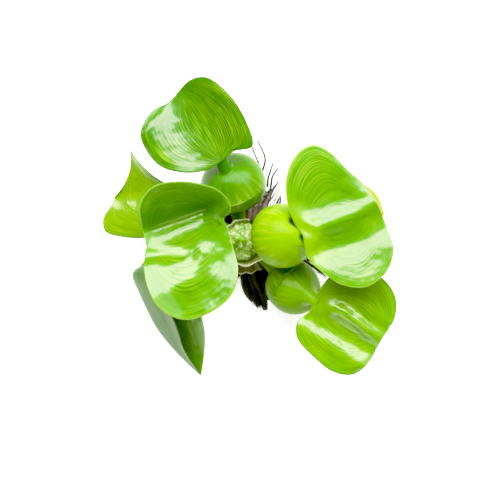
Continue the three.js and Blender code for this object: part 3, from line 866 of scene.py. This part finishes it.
for seed, (place, stalk) in enumerate(STALKS.items()):
    rings, growth, creases = stalk_body(stalk, place, 20 + seed)
    points, faces = closed_tube(rings)
    greens = FLOAT_GREEN.get(place, HIDDEN_FLOAT)
    blade_tone = BASE_TONES.get(place, GREEN[place][1])
    gloss = FLOAT_GLOSS.get(place, USUAL_GLOSS)
    paint = float_skin(f"float_skin_{place}", *greens, blade_tone, gloss, seed)
    piece = add_piece(f"float_{place}", points, faces, [f"petiole_{place}"], [paint])
    lay_map(piece, growth)
    lay_map(piece, creases, "crease")
    print("float", place, len(piece.data.polygons), "faces")

# %% [markdown]
# ## Crown and young leaf
#
# The crown is the short stem. All that shows of it from above is a crumpled pale skin with the
# green of the young leaf showing through. Crumples are sharp ridges with soft hollows between
# them, which is the shape that the absolute value of a noise gives. So the crown is a turned
# form whose skin is pushed in and out by such noise. The young leaf is a sheet that is rolled
# round itself, made as a spiral that narrows to a point.

# %% Crumpled skin of the crown
CROWN_OUTLINE = [  # how far from the middle, and how high
    (0.5, 9.6), (6.4, 9.8), (8.3, 12), (8.4, 16), (8.6, 20),
    (8.5, 23.4), (7.4, 25.6), (4.6, 27), (0.2, 27.4),
]
CROWN_RINGS = 80
CROWN_SIDES = 120
CRUMPLE = 1.7
LARGE_CRUMPLES = 3.6
SMALL_CRUMPLES = 1.7
CROWN_LEAN = (-1.4, 0.9)  # its top leans this far, in mm
CROWN_STRETCH = 1.16  # and is longer from front to back than it is wide


def turned_rings(outline, rings, sides):
    profile = curve_through([(r, z, 0) for r, z in outline], np.linspace(0, 1, rings))
    angles = np.linspace(0, 2 * math.pi, sides, endpoint=False)
    r, z = profile[:, 0, None], profile[:, 1, None]
    grid = np.stack([r * np.cos(angles), r * np.sin(angles), z + 0 * angles], -1)
    growth = np.stack(np.meshgrid(angles / (2 * math.pi), np.linspace(0, 1, rings)), -1)
    return grid, growth.reshape(-1, 2)


def crown_skin():
    """Pale moist skin with green showing through in patches, and small white specks painted in as
    highlights.
    """
    recipe = Recipe("crown_skin")
    veins = recipe.noise(recipe.growth(60, 5), detail=3, roughness=0.6)
    patches = recipe.noise(recipe.body((190, 190, 110)), detail=4, roughness=0.65, distortion=1.2)
    specks = recipe.noise(recipe.body(520), detail=2)
    pale = recipe.blend(recipe.spread(veins, 0.35, 0.65), (0.15, 0.25, 0.03), (0.36, 0.48, 0.13))
    green = recipe.blend(recipe.spread(patches, 0.5, 0.59), pale, (0.1, 0.28, 0.003))
    # Painted highlights: small white specks that stand in for light glinting on the crumpled skin.
    white = recipe.blend(recipe.spread(specks, 0.58, 0.7, 0, 0.8), green, (0.64, 0.72, 0.4))
    recipe.drive("Base Color", white)
    recipe.relief(recipe.maths("ADD", patches, specks), 0.5, 0.7)
    recipe.set(
        Roughness=0.42, Subsurface_Weight=0.35, Subsurface_Scale=1.5 * MM,
        Subsurface_Radius=(0.8, 1.0, 0.5), Coat_Weight=0.6, Coat_Roughness=0.15,
    )
    return recipe.material


grid, growth = turned_rings(CROWN_OUTLINE, CROWN_RINGS, CROWN_SIDES)
outward = unit(grid * (1, 1, 0) + (0, 0, 1e-6)) * (1, 1, 0) + (0, 0, 0.5)
large = np.abs(noise_at(grid * (1, 1, 0.6), LARGE_CRUMPLES, 3))
small = np.abs(noise_at(grid, SMALL_CRUMPLES, 4))
creases = 0.5 - large - 0.4 * small
grid = grid + unit(outward) * (CRUMPLE * creases)[..., None]
upper_part = eased((grid[..., 2] - 15) / 8)
grid[..., 0] += CROWN_LEAN[0] * upper_part
grid[..., 1] = grid[..., 1] * (1 + (CROWN_STRETCH - 1) * upper_part) + CROWN_LEAN[1] * upper_part
points, faces = closed_tube(grid)
crown = add_piece("crown_crumpled", points, faces, ["crown"], [crown_skin()])
lay_map(crown, np.concatenate([growth, [(0, 0), (0, 1)]]))
print("crown:", len(faces), "faces")

# %% Rolled young leaf
YOUNG_FOOT = (-1.8, -0.6, 25)
YOUNG_TIP = (-2.2, 1.4, 35)
YOUNG_TURNS = 1.7
YOUNG_RADIUS = 3.4
YOUNG_WALL = 0.18
YOUNG_ROWS = 40
YOUNG_COLUMNS = 90
YOUNG_GREEN = ((0.07, 0.22, 0.003), (0.14, 0.33, 0.006), (0.36, 0.48, 0.14))

up_share = np.linspace(0, 1, YOUNG_ROWS)
round_share = np.linspace(0, 1, YOUNG_COLUMNS)
narrowing = np.interp(up_share, [0, 0.3, 0.6, 0.85, 1], [0.8, 1, 0.82, 0.45, 0.12])
turn = 2 * math.pi * YOUNG_TURNS * round_share + 0.8
layers = YOUNG_RADIUS * narrowing[:, None] * (0.55 + 0.45 * round_share)
heights = up_share[:, None] * (1 - 0.12 * round_share)
spine = np.array(YOUNG_FOOT) + heights[..., None] * (np.array(YOUNG_TIP) - YOUNG_FOOT)
middle = spine + np.stack([layers * np.cos(turn), layers * np.sin(turn), 0 * layers], -1)
facing = facing_of(middle)
points, faces = closed_sheet(middle + facing * YOUNG_WALL, middle - facing * YOUNG_WALL)
paint = leaf_skin("young_leaf_skin", *YOUNG_GREEN, 9)
young = add_piece("young_leaf_rolled", points, faces, ["young_leaf"], [paint])
growth = np.stack(np.meshgrid(round_share, up_share), -1).reshape(-1, 2)
lay_map(young, np.concatenate([growth, growth]))
print("young leaf:", len(faces), "faces")

# %% [markdown]
# ## Papery sheaths
#
# Each sheath is the thin collar that once wrapped a young leaf. It is dry at the rim, frilled
# and torn, and lets some light through. A collar of points round the crown is enough for the
# shape, and noise along the rim gives the frill and the tears. The older, lower one has
# weathered to olive brown.

# %% Collars round the crown
# Each row: the bearings it lies between, how far from the middle and how high its foot and its
# rim are, and the heights of its waves and its frill.
SHEATHS = named(("from", "to", "foot", "rim", "wave", "frill"), {
    "sheath_front_upper": (212, 320, (8.1, 20.6), (12, 25.2), 0.3, 0.35),
    "sheath_front_lower": (257, 303, (8.5, 18.4), (16.5, 14), 0.5, 0.35),
    "sheath_back": (78, 144, (7.5, 22.6), (12.4, 27.6), 0.2, 0.45),
})
SHEATH_ROWS = 150
SHEATH_COLUMNS = 26
SHEATH_BELLY = 1.1
SHEATH_RIPPLES = 2.25
SHEATH_WALL = 0.14
TEAR = 1.2  # of the rim, for one mm of frill


def sheath_body(sheath, seed):
    share = np.linspace(0, 1, SHEATH_ROWS)[:, None]
    out = np.linspace(0, 1, SHEATH_COLUMNS)[None, :]
    angle = np.radians(sheath["from"] + (sheath["to"] - sheath["from"]) * share)
    ripple = sheath["wave"] * np.sin(2 * math.pi * SHEATH_RIPPLES * share)
    (foot_r, foot_z), (rim_r, rim_z) = sheath["foot"], sheath["rim"]
    rim_place = np.stack([20 * share, 0 * share, 0 * share], -1)
    torn_part = np.clip((out - 0.75) * 4, 0, 1)
    tear = TEAR * sheath["frill"] * np.abs(noise_at(rim_place, 1.1, seed)) * torn_part
    reach = out - tear / 8
    radius = foot_r + (rim_r - foot_r) * reach + ripple * out
    height = foot_z + (rim_z - foot_z) * reach - SHEATH_BELLY * np.sin(math.pi * out) + ripple * out
    middle = np.stack([radius * np.cos(angle), radius * np.sin(angle), height], -1)
    waves = noise_at(middle, 2.2, seed) + 0.6 * noise_at(middle, 0.9, seed + 1)
    frill = sheath["frill"] * waves * out**1.5
    middle = middle + facing_of(middle) * frill[..., None]
    facing = facing_of(middle) * SHEATH_WALL
    growth = np.stack(np.broadcast_arrays(out, share), -1).reshape(-1, 2)
    return closed_sheet(middle + facing, middle - facing), np.concatenate([growth, growth])


def sheath_paper(name, pale, dark, rim_tone):
    """Dry see-through membrane with fine veins and a bleached frayed rim."""
    recipe = Recipe(name)
    out, _ = map_parts(recipe)
    veins = recipe.noise(recipe.growth(2.5, 70), detail=3, roughness=0.65)
    stains = recipe.noise(recipe.body(240), detail=3)
    sheet = recipe.blend(recipe.spread(veins, 0.35, 0.65), dark, pale)
    stained = recipe.blend(recipe.spread(stains, 0.52, 0.75, 0, 0.7), sheet, dark)
    edge = recipe.times(recipe.spread(out, 0.86, 0.97), recipe.spread(stains, 0.3, 0.5))
    recipe.drive("Base Color", recipe.blend(edge, stained, rim_tone))
    recipe.relief(veins, 0.15, 0.8)
    recipe.set(
        Roughness=0.55, Subsurface_Weight=0.4, Subsurface_Scale=1 * MM,
        Subsurface_Radius=(1.0, 0.9, 0.6), Coat_Weight=0.15, Coat_Roughness=0.3,
    )
    return recipe.material


SHEATH_TONES = {
    "sheath_front_upper": ((0.33, 0.4, 0.17), (0.17, 0.23, 0.065), (0.68, 0.66, 0.48)),
    "sheath_front_lower": ((0.2, 0.2, 0.09), (0.075, 0.08, 0.028), (0.5, 0.46, 0.3)),
    "sheath_back": ((0.38, 0.46, 0.22), (0.17, 0.25, 0.065), (0.56, 0.58, 0.4)),
}

for seed, (place, sheath) in enumerate(SHEATHS.items()):
    (points, faces), growth = sheath_body(sheath, 30 + seed)
    paper = sheath_paper(f"{place}_paper", *SHEATH_TONES[place])
    piece = add_piece(f"{place}_paper", points, faces, [place], [paper])
    lay_map(piece, growth)
    print(place, len(faces), "faces")

# %% [markdown]
# ## Roots
#
# A water hyacinth's roots are feathers: a thin main root with hundreds of finer ones along it.
# Out of the water they cling together in black wet locks. Particle hair would be the quick way,
# but only meshes can be kept with the plant. So each lock is a tapered core, with main roots
# that wander over it and out of it, and each side root is a small spike on them. The locks run
# where the solid ones run, so the plant rests on the same points.

# %% Where the locks run, in mm and degrees
ROOT_MASS_RADIUS = 13
LOCK_RADIUS = 2.1
TUFT_FOOT_SPREAD = 18
LOCK_REACHES = (0.84, 1, 0.75)
LOCK_HEIGHTS = (2.6, 5.4, 3.6)
LOCK_SWAYS = (-5, 4, 6)
LOCK_REST = 0.5
LOCK_FALL = 0.8
TUFT_FACTS = ("angle", "turn", "spread", "reach", "thickness")
TUFTS = [
    (283, 3, 13, 36, 1.35), (305, 0, 20, 29, 1.1), (324, 0, 20, 33, 1), (342, -5, 15, 48, 1.1),
    (5, 2, 24, 40, 1), (30, 3, 24, 34, 1), (56, 5, 18, 38, 1.35), (80, -2, 20, 37, 1.1),
    (107, 5, 26, 30, 1), (134, 6, 26, 33, 1), (161, 6, 26, 35, 1), (189, 6, 28, 35, 1),
    (220, 6, 30, 32, 1), (254, 2, 26, 25, 1.1),
]


def lock_path(tuft, k, u):
    """Points along the middle of lock k of a tuft, or between two locks, at shares u of it."""
    across = k / 2 - 0.5
    swing = (TUFT_FOOT_SPREAD + (tuft["spread"] - TUFT_FOOT_SPREAD) * u) * across + tuft["turn"] * u
    rows = (LOCK_SWAYS, LOCK_REACHES, LOCK_HEIGHTS)
    sway, share, foot = (np.interp(k, (0, 1, 2), row) for row in rows)
    bearing = np.radians(tuft["angle"] + swing + sway * np.sin(math.pi * u))
    start = ROOT_MASS_RADIUS - LOCK_RADIUS
    out = start + (tuft["reach"] * share - start) * u
    rise = foot + (LOCK_REST - foot) * np.minimum(1, u / LOCK_FALL)
    return np.stack([out * np.cos(bearing), out * np.sin(bearing), rise], -1)


# %% Threads: tubes and spikes gathered into one mesh
class Threads:
    """Collects points and faces of many fine roots."""

    def __init__(self):
        self.points, self.faces, self.count = [], [], 0

    def add(self, points, faces):
        self.points.append(points)
        self.faces += [tuple(corner + self.count for corner in face) for face in faces]
        self.count += len(points)

    def tube(self, path, radii, sides):
        forward = unit(np.gradient(path, axis=0))
        side = unit(np.cross(forward, (0, 0, 1)) + (1e-6, 0, 0))
        upward = np.cross(side, forward)
        angles = np.linspace(0, 2 * math.pi, sides, endpoint=False)
        radii = np.broadcast_to(radii, len(path))[:, None, None]
        ring = side[:, None] * np.cos(angles)[:, None] + upward[:, None] * np.sin(angles)[:, None]
        self.add(*closed_tube(path[:, None] + ring * radii))

    def spike(self, foot, reach, radius):
        """A thin three-sided point from foot along reach."""
        ahead = reach / np.linalg.norm(reach)
        side = np.cross(ahead, (0.3, 0.2, 0.93))
        side = side / np.linalg.norm(side) * radius
        upward = np.cross(side, ahead)
        base = [foot + side, foot - 0.5 * side + 0.87 * upward, foot - 0.5 * side - 0.87 * upward]
        self.add(np.array([*base, foot + reach]), [(0, 2, 1), (0, 1, 3), (1, 2, 3), (2, 0, 3)])

    def result(self, lowest):
        points = np.concatenate(self.points)
        points[:, 2] = np.maximum(points[:, 2], lowest)
        return points, self.faces


def smooth_wander(rng, count, size):
    """A random walk that turns gently, as offsets for the points of a path."""
    knots = [[rng.uniform(-size, size) for _ in range(3)] for _ in range(5)]
    return curve_through([(0, 0, 0), *knots], np.linspace(0, 1, count))


# %% The root mat
MAIN_ROOTS = 30  # in each tuft
DENSE_ROOTS = 60  # in each tuft that clings together
MAIN_STEPS = 12
MAIN_RADIUS = 0.3
MAIN_WANDER = 0.9
CORE_WANDER = 0.3
SIDE_ROOTS = 38  # on each main root
SIDE_LENGTH = 2.6

# Tufts that differ from the rest, by the bearing they lie on
DENSE_TUFTS = (283,)  # the locks of the front one cling together, with ragged ends
REACH_SHARES = {283: 1.1, 254: 0.8}  # it reaches further, and the one beside it has broken off
DRY_TUFTS = (56, 80)  # these at the back have dried

rng = random.Random(7)
mat = Threads()
core_outline = [(12.0, 0), (12.6, 2), (12.3, 5), (10.4, 8), (7, 9.6), (0.3, 10.4)]
core, _ = turned_rings(core_outline, 30, 90)
ruffle = 1 + 0.14 * noise_at(core, 3.2, 11) + 0.07 * noise_at(core, 1.2, 12)
mat.add(*closed_tube(core * np.stack([ruffle, ruffle, 1 + 0 * ruffle], -1)))
paint_of_face = [0] * len(mat.faces)


def lock_radius(tuft, u):
    tapers = (1, 1.05, 1, 0.85, 0.5) if tuft["angle"] in DENSE_TUFTS else (1, 1, 0.75, 0.45, 0.12)
    return LOCK_RADIUS * tuft["thickness"] * np.interp(u, [0, 0.25, 0.5, 0.75, 1], tapers)


def add_main_root(tuft, k):
    """One main root that wanders over its lock, with its side roots."""
    around = rng.uniform(0, 2 * math.pi)
    away = rng.uniform(0.3, 1.25)
    path = lock_path(tuft, k, u * rng.uniform(0.72, 1.04))
    side = unit(np.cross(np.gradient(path, axis=0), (0, 0, 1)))
    shift = side * math.cos(around) + UPWARD * math.sin(around)
    path = path + shift * (lock_radius(tuft, u) * away)[:, None]
    path = path + smooth_wander(rng, MAIN_STEPS, MAIN_WANDER)
    path[:, 2] = np.maximum(path[:, 2], MAIN_RADIUS)
    mat.tube(path, MAIN_RADIUS - 0.2 * u, 5)
    forward = unit(np.gradient(path, axis=0))
    for _ in range(SIDE_ROOTS):
        at = rng.uniform(0.1, 1) * (MAIN_STEPS - 1)
        j = min(int(at), MAIN_STEPS - 2)
        foot = path[j] + (path[j + 1] - path[j]) * (at - j)
        spread = np.array([rng.gauss(0, 1), rng.gauss(0, 1), rng.gauss(0, 0.7)])
        length = SIDE_LENGTH * rng.uniform(0.4, 1) * (1.1 - 0.5 * at / MAIN_STEPS)
        mat.spike(foot, (forward[j] * 1.1 + spread * 0.55) * length, 0.1)


u = np.linspace(0, 1, MAIN_STEPS)
for facts in TUFTS:
    tuft = dict(zip(TUFT_FACTS, facts))
    tuft["reach"] *= REACH_SHARES.get(tuft["angle"], 1)
    dense = tuft["angle"] in DENSE_TUFTS
    for k in (0, 0.5, 1, 1.5, 2) if dense else (0, 1, 2):
        middle = lock_path(tuft, k, u * (0.94 if dense else 1))
        middle = middle + smooth_wander(rng, MAIN_STEPS, CORE_WANDER)
        mat.tube(middle, lock_radius(tuft, u) * (0.95 if dense else 0.72), 9)
    for _ in range(DENSE_ROOTS if dense else MAIN_ROOTS):
        add_main_root(tuft, rng.uniform(-0.1, 2.1))
    dry = tuft["angle"] in DRY_TUFTS
    paint_of_face += [int(dry)] * (len(mat.faces) - len(paint_of_face))

points, faces = mat.result(0.02)


def root_skin(name, dark, brown, grey):
    """Wet root fibre: black, with brown and grey where it has dried."""
    recipe = Recipe(name)
    age = recipe.noise(recipe.body(60), detail=3)
    fibres = recipe.noise(recipe.body(900), detail=1)
    tone = recipe.blend(recipe.spread(age, 0.45, 0.66), dark, brown)
    recipe.drive("Base Color", recipe.blend(recipe.spread(fibres, 0.58, 0.7, 0, 0.6), tone, grey))
    recipe.drive("Roughness", recipe.spread(fibres, 0.3, 0.7, 0.35, 0.65))
    recipe.relief(fibres, 0.1, 0.5)
    recipe.set(Coat_Weight=0.12, Coat_Roughness=0.25)
    return recipe.material


wet_paint = root_skin("wet_root", (0.003, 0.003, 0.004), (0.007, 0.006, 0.01), (0.045, 0.042, 0.055))
dry_paint = root_skin("dry_root", (0.02, 0.014, 0.011), (0.2, 0.15, 0.13), (0.4, 0.34, 0.31))
roots = add_piece("root_mat", points, faces, ["roots"], [wet_paint, dry_paint])
roots.data.polygons.foreach_set("material_index", paint_of_face)
print("roots:", len(faces), "faces")

# %% Single fine roots
STRANDS = {
    "root_strand_1": [(7.5, 38, 1), (7.2, 43, 2.4), (3.8, 51.7, 1.2)],
    "root_strand_2": [(9.2, 38, 1), (10.8, 46.3, 2.6), (6.6, 55.2, 1.4)],
    "root_strand_3": [(12.2, 30.2, 0.9), (12.6, 36, 2.4), (15, 42.8, 2.4)],
    "root_strand_4": [(13.7, 29.8, 0.9), (14.8, 35.6, 2.6), (17.8, 40.4, 3.2)],
}
STRAND_RADII = (0.55, 0.4)  # at the start and at the tip
STRAND_STEPS = 24
STRAND_WANDER = 0.25

strand_paint = root_skin("thin_root", (0.02, 0.016, 0.014), (0.07, 0.058, 0.052), (0.16, 0.14, 0.13))
for name, route in STRANDS.items():
    strand = Threads()
    share = np.linspace(0, 1, STRAND_STEPS)
    path = curve_through(route, share) + smooth_wander(rng, STRAND_STEPS, STRAND_WANDER)
    strand.tube(path, np.interp(share, (0, 1), STRAND_RADII), 6)
    forward = unit(np.gradient(path, axis=0))
    for j in range(3, STRAND_STEPS - 2):
        lean = np.array([rng.gauss(0, 0.7), rng.gauss(0, 0.7), rng.uniform(-0.2, 0.5)])
        strand.spike(path[j], (forward[j] + lean) * rng.uniform(0.5, 1.6), 0.07)
    points, faces = strand.result(0.05)
    add_piece(f"{name}_fine", points, faces, [name], [strand_paint])
print("single roots:", len(STRANDS))
